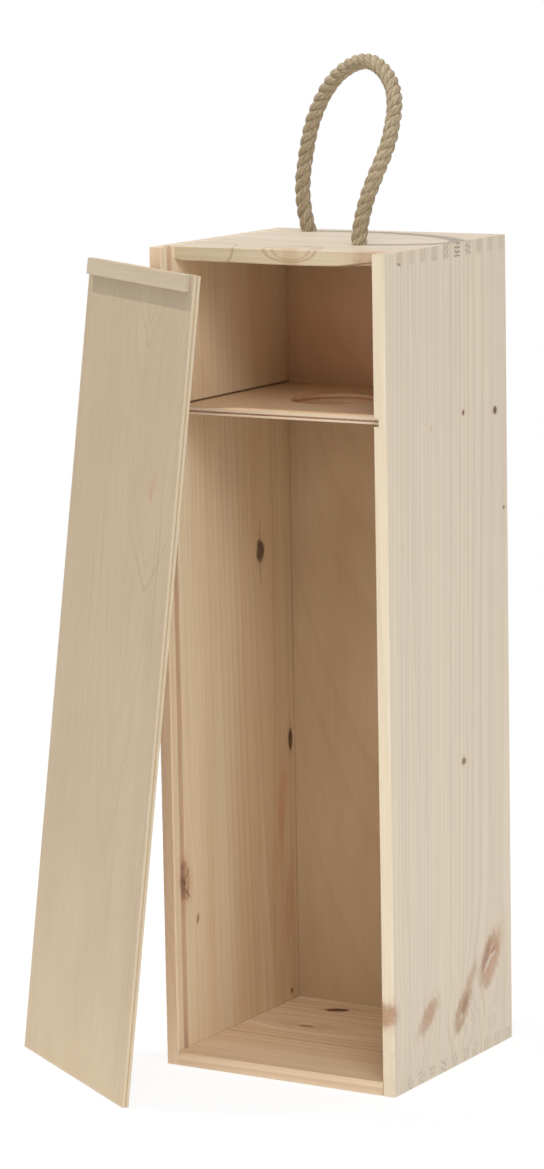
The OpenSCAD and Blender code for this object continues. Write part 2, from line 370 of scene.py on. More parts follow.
def paint_loops(tree, space, colour, patchy, loops):
    """Thin shells of an ellipsoid, at a place and with a reach along each axis: single rings, and a dark
    line of painted shade.
    """
    for place, reach, width, amount, paint in loops:
        local = add(tree, "Mapping", space, [v * MM for v in place], None, [v * MM for v in reach],
                    vector_type="TEXTURE")
        bent = add(tree, "Math", add(tree, "VectorMath", local, operation="LENGTH"),
                   add(tree, "Math", patchy, LOOP_WOBBLE, operation="MULTIPLY"), operation="ADD")
        off = add(tree, "Math", bent, -1 - LOOP_WOBBLE / 2, operation="ADD")
        line = bell(tree, add(tree, "Math", off, width, operation="DIVIDE"))
        line = add(tree, "Math", line, amount, operation="MULTIPLY")
        colour = add(tree, "Mix", line, colour, tint(paint), data_type="RGBA")
    return colour


# %% Softwood recipe
# Repeats per metre across, through and along the grain. Real fibres are finer, but 1.1 mm is the
# finest that shows. Ripples come every 2.4 mm, spots every 7 mm and clouds every 11 mm.
FIBRES, RIPPLES, SPOTS, CLOUDS = [900, 900, 14], [420, 420, 210], [150, 150, 75], [90, 90, 3.5]
RIM_AMOUNT = 0.8
print("fibres every", round(1 / MM / FIBRES[0], 1), "mm and", FIBRES[0] // FIBRES[2], "times as long")


def softwood(name, wood):
    """Planed, unfinished spruce: matt, pale, with rings, fibres, knots and darker end grain."""
    material, tree = new_material(name)
    space = board_space(tree, wood["origin"], wood["across"], wood["along"])
    knots, push = knots_in(tree, space, wood.get("knots", ()))
    late = rings_of(tree, space, wood, push)
    fibre, ripple = (grain_noise(tree, space, repeats, 3.0, 0.6) for repeats in (FIBRES, RIPPLES))
    patchy, cloud = (grain_noise(tree, space, repeats, 2.0, 0.5) for repeats in (SPOTS, CLOUDS))
    blush = add(tree, "MapRange", cloud, 0.36, 0.64, 0.0, 1.0)
    colour = add(tree, "Mix", blush, tint(wood["early"]), tint(wood["blush"]), data_type="RGBA")
    dark = add(tree, "Math", late, wood["contrast"], operation="MULTIPLY")
    colour = add(tree, "Mix", dark, colour, tint(wood["late"]), data_type="RGBA")
    if "cuts" in wood:
        colour = paint_cuts(tree, space, colour, wood["cuts"])
    # Fade: painted shade, a darkening across the board from one place to another.
    if "fade" in wood:
        low, high, paint = wood["fade"]
        x = add(tree, "SeparateXYZ", space).outputs["X"]
        colour = add(tree, "Mix", add(tree, "MapRange", x, low * MM, high * MM, 0.0, 1.0), colour,
                     tint(paint), data_type="RGBA", blend_type="MULTIPLY")
    # Faces: a tint on the side of the board that faces one way, painted light and shade for how the lamps
    # fall there.
    for way, paint, amount in wood.get("faces", ()):
        painted_face_light = add(tree, "MapRange", facing(tree, way), 0.6, 0.9, 0.0, amount)
        colour = add(tree, "Mix", painted_face_light, colour, tint(paint), data_type="RGBA")
    colour = shade_fibres(tree, colour, fibre, 0.955, 1.035)
    dark = add(tree, "Math", late, wood.get("end_late", 0.3), operation="MULTIPLY")
    cut = add(tree, "Mix", dark, tint(wood["end_tint"]), tint(wood["late"]), data_type="RGBA")
    if "marks" in wood:
        torn = end_marks(tree, space, ripple, wood["marks"])
        cut = add(tree, "Mix", torn, cut, tint(MARK_TINT), data_type="RGBA")
    end = add(tree, "MapRange", add(tree, "Math", facing(tree, wood["along"]), operation="ABSOLUTE"),
              0.6, 0.9, 0.0, 1.0, interpolation_type="SMOOTHSTEP")
    colour = add(tree, "Mix", end, colour, cut, data_type="RGBA")
    for knot, distance in knots:
        colour = paint_knot(tree, colour, knot, distance, ripple, patchy)
    colour = paint_loops(tree, space, colour, patchy, wood.get("loops", ()))
    if "rim" in wood:
        lower_edge = add(tree, "Attribute", attribute_name="lower_edge").outputs["Fac"]
        colour = add(tree, "Mix", add(tree, "Math", lower_edge, RIM_AMOUNT, operation="MULTIPLY"), colour,
                     tint(wood["rim"]), data_type="RGBA")
    height = add(tree, "Math", late, wood.get("relief", 0.3), fibre, operation="MULTIPLY_ADD")
    finish_material(tree, colour, 0.62, height, 0.00006)
    return material


# %% The side boards' own rings and knots
# Millimetres in board space. The pith is at x, y. A knot's place is x, z, half width, half height
# and slant in degrees, a bump's is the same with how far it pushes the rings. Cuts tint what a
# saw has bared, and on the left board two of them are thin lines of painted shade in the joints.
# Faces tints the side of a board that faces one way, as painted light and shade, and fade darkens
# the left board towards the back, as painted shade.
RIGHT_SIDE = {
    "origin": (box_right, 0, 0), "across": (0, 1, 0), "along": (0, 0, 1),
    "pith": (40, 34), "ring": 2.9, "wander": 2.6, "lean": (0.02, 0.0), "late_from": 0.4, "relief": 0.15,
    "early": "#E0D4C0", "blush": "#DCD0BE", "late": "#BCA587", "contrast": 0.33, "uneven": 1.6,
    "end_tint": "#CDBEA9", "end_late": 0.2,
    # Painted light: the front edge is tinted paler, and the hidden inner face warm, so that the light
    # bouncing inside the box turns warm.
    "faces": (((-1, 0, 0), "#F2CFA8", 0.6), ((0, -1, 0), "#F0E0C4", 0.7)),
    "cuts": (((-49, -45.6), (-9, 400), (2.4, 5.9), 0.5, "#B07A4B"),),  # the lid groove
    "bumps": ((-52, 22, 9, 13, 7.0), (-30, 8, 10, 7, -5.0), (16, 14, 10, 6, 5.0), (30, 12, 8, 5, -4.0)),
    "knots": (
        {"place": (42.8, 284.4, 1.8, 1.8, 0), "tint": "#533F2E", "halo": 0.45, "soft": 0.3},
        {"place": (13.5, 286.6, 1.1, 1.2, 0), "tint": "#7E5A48", "halo": 0.4,
         "halo_tint": "#C59880"},
        {"place": (-15.2, 283.0, 0.6, 0.9, 0), "tint": "#C7A08A", "core": 0.5, "halo": 0.2},
        {"place": (50.1, 240.7, 0.9, 0.9, 0), "tint": "#7E6149", "halo": 0.3},
        {"place": (11.0, 134.4, 1.9, 1.5, 0), "tint": "#735D46", "core": 0.8, "soft": 0.4,
         "halo": 0.4, "halo_tint": "#C0A070", "push": 0.7},
        {"place": (40.5, 47.5, 3.2, 6.5, 25), "tint": "#CBA988", "core": 0.3, "halo": 0.3,
         "soft": 0.5, "halo_tint": "#CBAC8E", "push": 0.3, "turns": 0.5},
        {"place": (33.2, 40.3, 6.6, 11.0, 28), "tint": "#C29577", "core": 0.6, "halo": 0.55,
         "soft": 0.4, "halo_tint": "#CAAA93", "halo_reach": 1.7, "push": 0.8, "rim": 0.28,
         "rim_tint": "#977E67"},
        {"place": (29.8, 43.0, 2.2, 7.5, 34), "tint": "#98816D", "core": 0.55, "halo": 0.2,
         "soft": 0.5, "push": 0.0, "turns": 0.5, "rough": 1.4},
        {"place": (35.2, 42.9, 0.5, 4.6, 50), "tint": "#655040", "core": 0.7, "halo": 0.0,
         "soft": 0.4, "push": 0.0, "turns": 0.5, "rough": 1.4},
        {"place": (35.4, 42.2, 0.8, 3.4, 66), "tint": "#E2D9CD", "core": 0.95, "halo": 0.0,
         "soft": 0.3, "push": 0.0, "turns": 0.5, "rough": 1.2},
        {"place": (31.2, 39.2, 0.8, 4.6, 44), "tint": "#E2D9CD", "core": 0.95, "halo": 0.0,
         "soft": 0.3, "push": 0.0, "turns": 0.5, "rough": 1.4},
        {"place": (-23.7, 28.2, 3.9, 8.8, 52), "tint": "#BA9376", "core": 0.6, "halo": 0.45,
         "soft": 0.45, "halo_tint": "#CAAF96", "halo_reach": 2.1, "push": 1.0, "rim": 0.15,
         "rim_tint": "#9F8269"},
        {"place": (7.0, 23.2, 4.4, 9.2, 40), "tint": "#B78F72", "core": 0.6, "halo": 0.5,
         "soft": 0.4, "halo_tint": "#C6A78C", "halo_reach": 1.8, "push": 0.9, "rim": 0.35,
         "rim_tint": "#937960"},
        {"place": (9.8, 26.2, 2.0, 5.4, 36), "tint": "#8E705E", "core": 0.5, "halo": 0.2,
         "soft": 0.5, "push": 0.0, "turns": 0.5, "rough": 1.2},
        {"place": (6.0, 20.6, 1.0, 1.9, 25), "tint": "#DCD2C5", "core": 0.85, "halo": 0.0,
         "soft": 0.3, "push": 0.0, "turns": 0.5, "rough": 1.2},
        {"place": (15.5, 36.5, 2.4, 6.5, 40), "tint": "#BE9B7C", "core": 0.35, "halo": 0.35,
         "soft": 0.5, "halo_tint": "#C6A88C", "push": 0.4, "turns": 0.5},
        {"place": (-56.5, 35.9, 5.0, 5.0, 0), "tint": "#B28767", "core": 0.7, "halo": 0.6,
         "soft": 0.4, "halo_tint": "#C19A7D", "halo_reach": 1.9, "push": 0.6, "rim": 0.2},
    ),
}
LEFT_SIDE = {
    "origin": (box_left, 0, 0), "across": (0, 1, 0), "along": (0, 0, 1),
    "pith": (30, -30), "ring": 2.4, "wander": 2.4, "lean": (-0.02, 0.01), "late_from": 0.35, "relief": 0.25,
    "early": "#F4E5C9", "blush": "#EDD7B5", "late": "#CDA076", "contrast": 0.24, "uneven": 2.6,
    # Painted shade: the board darkens towards the back of the box.
    "fade": (-45, 50, "#ECE6DF"),
    "end_tint": "#DACDB5", "end_late": 0.2,
    # Painted shade: the front edge is tinted darker and pinker.
    "faces": (((0, -1, 0), "#E1BBA3", 0.5),),
    "cuts": (
        ((-49, -45.6), (-9, 400), (2.4, 5.9), 0.22, "#CA905B"),  # the lid groove
        ((-49, 60), (287.8, 292.0), (3.4, 5.9), 0.95, "#D6875A"),  # the shelf's kerf
        # Thin dark lines of painted shade where the left board meets the back and the bottom.
        ((50.0, 52.0), (-9, 400), (5.4, 6.5), 0.2, "#8A5A3C"),  # the joint with the back
        ((-60, 60), (5.8, 6.6), (5.4, 6.5), 0.15, "#8A5A3C"),  # the joint with the bottom
    ),
    "knots": (
        {"place": (23.1, 217.9, 0.5, 15, 0), "tint": "#8A6245", "core": 0.55, "halo": 0.0,
         "soft": 0.5, "push": 0.0, "turns": 0.0, "rough": 0.5},
        {"place": (23.1, 217.9, 2.9, 4.4, 0), "tint": "#544433", "core": 0.9, "halo": 0.35,
         "push": 1.0, "soft": 0.3, "rough": 1.3, "rim": 0.6, "rim_tint": "#3F372B", "heart": 0.6,
         "heart_tint": "#7C6B55"},
        # Not a knot: a broad warm patch painted on the wall over the upper compartment, standing in for the
        # warm light there.
        {"place": (18, 318, 34, 34, 0), "tint": "#F9E3C4", "core": 0.45, "halo": 0.0, "soft": 0.6,
         "push": 0.0, "turns": 0.0, "rough": 0.3},
        {"place": (46.6, 128.2, 1.7, 5.0, 0), "tint": "#493B2D", "core": 0.95, "halo": 0.4,
         "push": 1.0},
        {"place": (-45.8, 80.8, 4.6, 8.6, 0), "tint": "#C0967A", "core": 0.6, "halo": 0.5,
         "halo_tint": "#D9AC8A", "halo_reach": 1.9, "push": 0.9, "rough": 1.3},
        {"place": (-46.9, 81.0, 1.1, 4.6, 0), "tint": "#694533", "core": 0.8, "halo": 0.5,
         "halo_tint": "#895D45", "halo_reach": 2.4, "push": 0.0, "rough": 2.4},
        {"place": (-43.5, 75.5, 0.45, 3.2, -40), "tint": "#694533", "core": 0.7, "halo": 0.2,
         "push": 0.0, "rough": 1.2},
        {"place": (-43.2, 84.5, 0.4, 2.6, 35), "tint": "#795341", "core": 0.6, "halo": 0.2,
         "push": 0.0, "rough": 1.2},
        {"place": (-35.6, 61.9, 0.8, 2.2, 12), "tint": "#93694D", "core": 0.7, "halo": 0.4,
         "soft": 0.35},
        {"place": (44.2, 10.4, 1.0, 1.4, 0), "tint": "#795335", "halo": 0.4},
        {"place": (38.5, 98.0, 3.2, 18.0, 8), "tint": "#DBA47C", "core": 0.25, "halo": 0.25,
         "halo_tint": "#DB9D74", "push": 0.3, "turns": 0.3},
        {"place": (43.0, 50.0, 3.0, 17.0, 4), "tint": "#DBA47C", "core": 0.22, "halo": 0.22,
         "halo_tint": "#DB9D74", "push": 0.3, "turns": 0.3},
    ),
}
dress("right_side", softwood("spruce right board", RIGHT_SIDE))
dress("left_side", softwood("spruce left board", LEFT_SIDE))

# %% The top and bottom boards' rings
TOP_BOARD = {
    "origin": (0, 0, halfway("top_panel", 2)), "across": (0, 1, 0), "along": (1, 0, 0),
    "pith": (12, -22), "ring": 1.9, "wander": 0.9, "wander_repeats": [14, 14, 1.6],
    "early": "#CEC4B3", "blush": "#CBBEAB", "late": "#A38A6F", "contrast": 0.24,
    "end_tint": "#D6C8B5", "end_late": 0.08, "marks": (5, 1.7, 0.1, 0.65, 0.8, 1.8), "rim": "#E5DAC5",
    "loops": (
        ((-43, 3.4, 5.5), (16, 5.9, 12.9), 0.07, 0.5, "#A78056"),
        ((-43, 3.4, 6.0), (13, 5.0, 9.2), 0.08, 0.4, "#A78056"),
        ((-43, 3.0, -42), (18, 12, 19.6), 0.03, 0.5, "#A78056"),
        # Not a ring: a dark line of painted shade for the gap above the splinter under the right end.
        ((-43, -11.55, 51), (6, 10, 31.4), 0.035, 0.85, "#82563D"),
    ),
    # Painted light: the front face is tinted paler, and the hidden underside warm, so that the light
    # bouncing inside the box turns warm.
    "faces": (((0, -1, 0), "#F0D8AC", 0.42), ((0, 0, -1), "#F2CCA2", 0.8)),
    "knots": (
        {"place": (-43, 46, 5.0, 9.0, 0), "tint": "#BB997D", "core": 0.45, "halo": 0.3,
         "halo_tint": "#C2A286", "push": 0.0, "turns": 2.0},
        {"place": (-41.5, 6.0, 3.5, 4.6, 0), "tint": "#C39E7E", "core": 0.35, "halo": 0.3,
         "halo_tint": "#C7A586", "push": 0.0, "turns": 1.0},
    ),
}
BOTTOM_BOARD = {
    "origin": (0, 0, halfway("bottom_panel", 2)), "across": (0, 1, 0), "along": (1, 0, 0),
    "pith": (14, -22), "ring": 2.5, "wander": 2.0, "wander_repeats": [14, 14, 2.4],
    "early": "#F0DCC0", "blush": "#E8CEAE", "late": "#BD8C65", "contrast": 0.42, "uneven": 3.0,
    "end_tint": "#D9CEBB", "end_late": 0.12, "marks": (2, 6, 0.12, 0.14, 0.5, 2.6), "relief": 0.5,
    "knots": (
        {"place": (37.8, -23.7, 2.5, 5.4, 20), "tint": "#56281A", "core": 0.95, "halo": 0.5,
         "push": 1.0},
        {"place": (8.0, -22.9, 1.4, 4.2, 0), "tint": "#A17C5B", "core": 0.8, "halo": 0.6,
         "halo_tint": "#C4A27A", "halo_reach": 5.0, "push": 2.0, "reach": 6.0},
    ),
}
top_wood = softwood("spruce top board", TOP_BOARD)
dress("bottom_panel", softwood("spruce bottom board", BOTTOM_BOARD))

# %% [markdown]
# ## Plywood
#
# The lid, the shelf and the back are thin plywood with a pale peeled veneer on each face. Peeled
# veneer is almost tangent to the rings, so its figure is wide and faint: tall arches where the
# knife dips. The softwood's circles would need a far-off pith, so a parabola across the sheet gives
# them instead. On the edges the middle ply shows its end grain as a darker line.

# %% Arches and patches in the veneer
ARCH_WANDER, ARCH_TIP = 12, 1.5


def broad_figure(tree, axes, wander, sheet):
    """The veneer's wide rings: year = (z * slope - (x - middle) ** 2 / curve + wander) / ring."""
    side = add(tree, "Math", axes.outputs["X"], -sheet["middle"] * MM, operation="ADD")
    bow = add(tree, "Math", add(tree, "Math", side, side, operation="MULTIPLY"),
              -1 / (sheet["curve"] * MM), operation="MULTIPLY")
    rise = add(tree, "Math", axes.outputs["Z"], sheet["slope"], bow, operation="MULTIPLY_ADD")
    level = add(tree, "Math", wander, sheet["wander"] * MM, rise, operation="MULTIPLY_ADD")
    year = add(tree, "Math", level, sheet["ring"] * MM, operation="DIVIDE")
    return late_wood(tree, year, 0.55, 0.94, 0.95, 0.2)


def paint_arches(tree, colour, axes, wander, arches, paint):
    """Thin lines where z = top + sqrt((steep * (x - middle + wander)) ** 2 + tip ** 2)."""
    for middle, top, steep, width, reach, amount in arches:
        side = add(tree, "Math", axes.outputs["X"], -middle * MM, operation="ADD")
        drift = add(tree, "Math", wander, -0.5, operation="ADD")
        side = add(tree, "Math", drift, ARCH_WANDER * MM, side, operation="MULTIPLY_ADD")
        arm = add(tree, "Math", side, steep, operation="MULTIPLY")
        arm = add(tree, "Math", add(tree, "Math", arm, arm, operation="MULTIPLY"), (ARCH_TIP * MM) ** 2,
                  operation="ADD")
        above = add(tree, "Math", axes.outputs["Z"], -top * MM, operation="ADD")
        off = add(tree, "Math", above, add(tree, "Math", arm, 0.5, operation="POWER"), operation="SUBTRACT")
        near = bell(tree, add(tree, "Math", off, width * MM, operation="DIVIDE"))
        fade = add(tree, "MapRange", above, 0.3 * reach * MM, reach * MM, amount, 0.0,
                   interpolation_type="SMOOTHSTEP")
        colour = add(tree, "Mix", add(tree, "Math", near, fade, operation="MULTIPLY"), colour, tint(paint),
                     data_type="RGBA")
    return colour


def paint_patches(tree, space, colour, cloud, patches):
    """Ellipses of another tint whose outline is as ragged as the clouds in the veneer."""
    for *place, paint, amount in patches:
        _, distance = ellipse(tree, space, *place)
        near = add(tree, "Math", distance, add(tree, "Math", cloud, 0.8, operation="MULTIPLY"),
                   operation="ADD")
        inside = add(tree, "MapRange", near, 0.6, 1.5, amount, 0.0, interpolation_type="SMOOTHSTEP")
        colour = add(tree, "Mix", inside, colour, tint(paint), data_type="RGBA")
    return colour


# %% Plywood recipe
# Repeats per metre, as for the softwood: fibres 0.9 mm, threads 1.6 mm, pores 0.7 mm.
VENEER_WANDER, VENEER_CLOUDS, VENEER_FIBRES = [14, 14, 3.0], [30, 30, 9], [1100, 1100, 45]
VENEER_THREADS, CORE_PORES = [620, 620, 7], [1500, 1500, 1500]
RAW_HOLE, PLY_SOFT = "#B58A66", 0.1
print("veneer threads run", round(VENEER_THREADS[0] / VENEER_THREADS[2]), "times as long as wide")


def paint_edge_highlight_and_raw_hole(tree, colour, axes, sheet):
    """The edge that faces one way gets a pale painted highlight, and the wall of the neck hole is raw."""
    way, amount, paint = sheet["edge"]
    edge = add(tree, "MapRange", facing(tree, way), 0.3, 0.8, 0.0, amount)
    if "hole_from" in sheet:
        front = sheet["hole_from"]
        wall = add(tree, "MapRange", axes.outputs["X"], front * MM, (front + 1) * MM, 0.0, 1.0)
        level = add(tree, "Math", facing(tree, (0, 0, 1)), operation="ABSOLUTE")
        raw = add(tree, "MapRange", level, 0.2, 0.6, 0.85, 0.0)
        raw = add(tree, "Math", wall, raw, operation="MULTIPLY")
        colour = add(tree, "Mix", raw, colour, tint(RAW_HOLE), data_type="RGBA")
        edge = add(tree, "Math", edge, add(tree, "Math", 1.0, wall, operation="SUBTRACT"),
                   operation="MULTIPLY")
    return add(tree, "Mix", edge, colour, tint(paint), data_type="RGBA")


def plywood(name, sheet):
    """Sanded three-ply: faint broad figure, fine threads, and the middle ply dark on the edges."""
    material, tree = new_material(name)
    space = board_space(tree, sheet["origin"], sheet["across"], sheet["along"])
    axes = add(tree, "SeparateXYZ", space)
    wander = grain_noise(tree, space, VENEER_WANDER, 3.0, 0.5)
    cloud = grain_noise(tree, space, VENEER_CLOUDS, 3.0, 0.55)
    fibre = grain_noise(tree, space, VENEER_FIBRES, 3.0, 0.6)
    threads = grain_noise(tree, space, VENEER_THREADS, 2.0, 0.5)
    pores = grain_noise(tree, space, CORE_PORES, 2.0, 0.5)
    colour = add(tree, "Mix", add(tree, "MapRange", cloud, 0.35, 0.65, 0.0, 1.0), tint(sheet["pale"]),
                 tint(sheet["warm"]), data_type="RGBA")
    late = broad_figure(tree, axes, wander, sheet)
    colour = add(tree, "Mix", add(tree, "Math", late, sheet["contrast"], operation="MULTIPLY"), colour,
                 tint(sheet["late"]), data_type="RGBA")
    colour = shade_fibres(tree, colour, fibre, 0.965, 1.03)
    thread = add(tree, "MapRange", threads, 0.56, 0.74, 0.0, sheet.get("threads", 0.3))
    colour = add(tree, "Mix", thread, colour, tint(sheet["late"]), data_type="RGBA")
    colour = paint_arches(tree, colour, axes, wander, sheet.get("arches", ()), sheet["late"])
    colour = paint_patches(tree, space, colour, cloud, sheet.get("patches", ()))
    if "edge" in sheet:
        colour = paint_edge_highlight_and_raw_hole(tree, colour, axes, sheet)
    (low, high), core_tint = sheet["core"]
    pore = add(tree, "MapRange", pores, 0.3, 0.6, 0.55, 1.0)
    core = within(tree, pore, axes.outputs["Y"], low, high, PLY_SOFT)
    colour = add(tree, "Mix", core, colour, tint(core_tint), data_type="RGBA")
    finish_material(tree, colour, 0.55, fibre, 0.00003)
    return material


# %% [markdown]
# ## The leaning lid
#
# The lid stands on its foot, turned to the left and tilted back. The top of its back face meets
# the box's front left corner edge, LEAN_CONTACT from the lid's own left edge. Its veneer has to
# follow it, and a texture can't borrow another object's space in an exported model. So the turns
# that set the lid there are made once more, as one matrix, which gives the sheet's own axes.

# %% Where the lid leans
LEAN_TURN, LEAN_TILT = math.radians(-33.4), math.radians(-6.8)
LID_TALL, LEAN_CONTACT, LEAN_GAP = 354, 55.5, 0.3
foot_out = LEAN_GAP + LID_TALL * math.sin(-LEAN_TILT)
lid_place = (Matrix.Translation(Vector((box_left, box_front, box_foot)) * MM)
             @ Matrix.Rotation(LEAN_TURN, 4, "Z")
             @ Matrix.Translation(Vector((-LEAN_CONTACT, -foot_out, 0)) * MM)
             @ Matrix.Rotation(LEAN_TILT, 4, "X"))
lid_origin = lid_place.translation / MM
lid_across, _, lid_up = (Vector(way) for way in lid_place.to_3x3().col)
print("lid's foot", [round(v, 1) for v in lid_origin], "up", [round(v, 3) for v in lid_up])

# %% The three sheets and the batten
LID_SHEET = {
    "origin": lid_origin, "across": lid_across, "along": lid_up,
    "middle": 66, "curve": 26, "slope": 0.22, "wander": 16, "ring": 11,
    "pale": "#C5B49A", "warm": "#C0AD92", "late": "#A48C6F", "contrast": 0.12,
    # Edge: a pale painted highlight on the lid's right edge.
    "core": ((-1.9, -1.1), "#B89E7C"), "edge": (lid_across, 0.6, "#D9CBB2"),
    "arches": ((85.2, 217.3, 1.3, 0.8, 36, 0.5), (84.5, 228, 1.5, 0.7, 26, 0.25),
               (69.7, 320, 1.7, 0.8, 30, 0.45), (69.7, 330, 1.6, 0.6, 22, 0.3),
               (44, 60, 1.9, 0.8, 46, 0.22), (72, 128, 2.2, 0.8, 40, 0.2)),
    "patches": ((86.6, 265, 2.6, 8.0, 16, "#BD9477", 0.5), (84.0, 260, 2.6, 7.0, -24, "#BD9477", 0.5),
                # The broad pale patch round the foot is painted light: the lid gets paler towards its foot.
                (50, -10, 130, 130, 0, "#D8C6A8", 0.3), (84.1, 142.8, 0.5, 0.8, 0, "#8F7159", 0.6),
                (50.7, 18.3, 0.5, 0.9, 0, "#9B8166", 0.5)),
}
SHELF_SHEET = {
    "origin": (0, 0, halfway("neck_shelf", 2)), "across": (0, 1, 0), "along": (1, 0, 0),
    "middle": 20, "curve": 60, "slope": 0.15, "wander": 16, "ring": 12,
    "pale": "#DDC3A7", "warm": "#D7BA98", "late": "#B38F6A", "contrast": 0.16,
    # Edge: a pale painted highlight on the shelf's front edge; the neck hole's wall stays raw.
    "core": ((-0.6, 0.2), "#8D5D44"), "edge": ((0, -1, 0), 0.9, "#EAD5BB"), "hole_from": -44,
}
BACK_SHEET = {
    "origin": (0, halfway("back_panel", 1), 0), "across": (1, 0, 0), "along": (0, 0, 1),
    "middle": 8, "curve": 90, "slope": 0.4, "wander": 22, "ring": 14,
    "pale": "#D1B898", "warm": "#C9AB89", "late": "#AE8962", "contrast": 0.16, "threads": 0.12,
    # The patch is painted warm shade on the back over the upper compartment.
    "core": ((-0.5, 0.5), "#9D7A54"), "patches": ((0, 312, 90, 36, 0, "#ECB291", 0.42),),
}
BATTEN = {
    "origin": lid_origin + lid_up * 350, "across": lid_up, "along": lid_across,
    "pith": (10, -40), "ring": 2.4, "wander": 1.2,
    "early": "#CABEA7", "blush": "#C7B69E", "late": "#B39D7D", "contrast": 0.25,
    "end_tint": "#C5B9A4", "end_late": 0.1,
}
dress("lid_panel", plywood("birch plywood lid", LID_SHEET))
dress("neck_shelf", plywood("birch plywood shelf", SHELF_SHEET))
dress("back_panel", plywood("birch plywood back", BACK_SHEET))
dress("lid_batten", softwood("spruce batten", BATTEN))

# %% [markdown]
# ## Brads
#
# Twelve brads hold the back. They are bright steel wire with a thin coat of grease: a metal, a
# little rough, scratched round by the hammer's face. Plain grey would do at this size, but their
# heads show on the back, so a fine noise varies the steel's tint and bump.

# %% Brads
brad_metal, tree = new_material("bright steel wire")
scratch = add(tree, "TexNoise", add(tree, "TexCoord").outputs["Object"], 900.0, 3.0, 0.6)
wire = add(tree, "Mix", add(tree, "MapRange", scratch, 0.35, 0.65, 0.0, 1.0), tint("#9A9A98"),
           tint("#B9B9B6"), data_type="RGBA")
bump = add(tree, "Bump", at={"Height": scratch, "Distance": 0.00002})
skin = add(tree, "BsdfPrincipled", at={"Base Color": wire, "Metallic": 1.0, "Roughness": 0.38,
                                       "Normal": bump})
add(tree, "OutputMaterial", skin)
dress("back_brads", brad_metal)

# %% [markdown]
# ## Top board
#
# The board on top isn't quite flat: its front edge sags a little in the middle, a splinter has
# come off under its right end, and a small tooth of wood hangs where the splinter begins. Bump
# alone wouldn't change the outline, and a sculpted mesh couldn't be worked out again. So its CAD
# mesh is copied and cut into strips that can bend, and a formula moves the points near the
# front's lower edge.

# %% Cutting a mesh into strips
STRIPS_ACROSS = (*np.linspace(-48, 34, 22), 32.6, 33.4, 34.2, *np.linspace(35, 51, 25))
STRIPS_UP = [top_under + up for up in (0.35, 0.7)]
STRIPS_BACK = [top_front + back for back in (0.7, 1.4, 2.2, 3.2, 6, 10, 15, 21)]
print("cuts:", len(STRIPS_ACROSS), "across,", len(STRIPS_BACK), "back,", len(STRIPS_UP), "up")


def cut_strips(solid):
    """Cuts a bmesh by planes square to x, z and y, given in millimetres."""
    for axis, places in ((0, STRIPS_ACROSS), (2, STRIPS_UP), (1, STRIPS_BACK)):
        normal = Vector(np.eye(3)[axis])
        for place in places:
            everything = solid.verts[:] + solid.edges[:] + solid.faces[:]
            bmesh.ops.bisect_plane(solid, geom=everything, plane_co=normal * place * MM, plane_no=normal)


# %% Top board, sagging and chipped
# In millimetres, x from the middle of the box to its right. Slopes are how far an end is drawn out.
SAG, SAG_MIDDLE, SAG_SPREAD, SAG_DEPTH = 0.35, 5.0, 24.0, 24
SAG_LEFT, LEFT_ENDS, LEFT_SLOPE = 0.45, 36, 8
FREE_SLOPE, UNDER_SLOPE = 2.5, 3.5
CHIP_FROM, CHIP_TO, CHIP_HIGH, CHIP_DEEP, CHIP_TOP = 34.5, inner_right, 0.3, 2.0, 1.2
CHIP_RAGGED, CHIP_STEPS = 0.22, 26
TOOTH_AT, TOOTH_WIDE, TOOTH_LONG = 33.4, 0.8, 0.6


def smooth_step(t):
    """3t^2 - 2t^3 with t held between 0 and 1."""
    t = np.clip(t, 0, 1)
    return t * t * (3 - 2 * t)


def lowered(x, y, z):
    """New heights, and how far each point belongs to the rim that shows along the lower edge.

    Sag = SAG * exp(-((x - middle) / spread)^2) + SAG_LEFT on the left, fading to the back, to both
    ends and to the upper face. The chip rises with x and is ragged; the tooth is a narrow bell.
    """
    fade = smooth_step((top_front + SAG_DEPTH - y) / SAG_DEPTH)
    fade *= smooth_step((inner_right - abs(x)) / FREE_SLOPE)
    fade *= smooth_step((top_under + UNDER_SLOPE - z) / UNDER_SLOPE)
    left = SAG_LEFT * smooth_step((LEFT_ENDS - x) / LEFT_SLOPE)
    sag = (SAG * np.exp(-((x - SAG_MIDDLE) / SAG_SPREAD) ** 2) + left) * fade
    rng = np.random.default_rng(5)
    ragged = np.interp(x, np.linspace(CHIP_FROM, CHIP_TO, CHIP_STEPS),
                       rng.uniform(-CHIP_RAGGED, CHIP_RAGGED, CHIP_STEPS))
    along = np.clip((x - CHIP_FROM) / (CHIP_TO - CHIP_FROM), 0, 1)
    chip = np.where((x > CHIP_FROM) & (abs(x) < CHIP_TO - 0.1), CHIP_HIGH * along + ragged, 0)
    chip *= np.clip(1 - (y - top_front) / (CHIP_DEEP * (0.5 + 0.5 * along)), 0, 1)
    chip *= z < top_under + CHIP_TOP
    tooth = TOOTH_LONG * np.exp(-((x - TOOTH_AT) / TOOTH_WIDE) ** 2)
    tooth *= (z < top_under + 0.2) * (y < top_front + 0.8)
    rim = smooth_step((top_under + 0.6 - z) / 0.4) * (y < top_front + 0.1)
    return z - sag + chip - tooth, rim


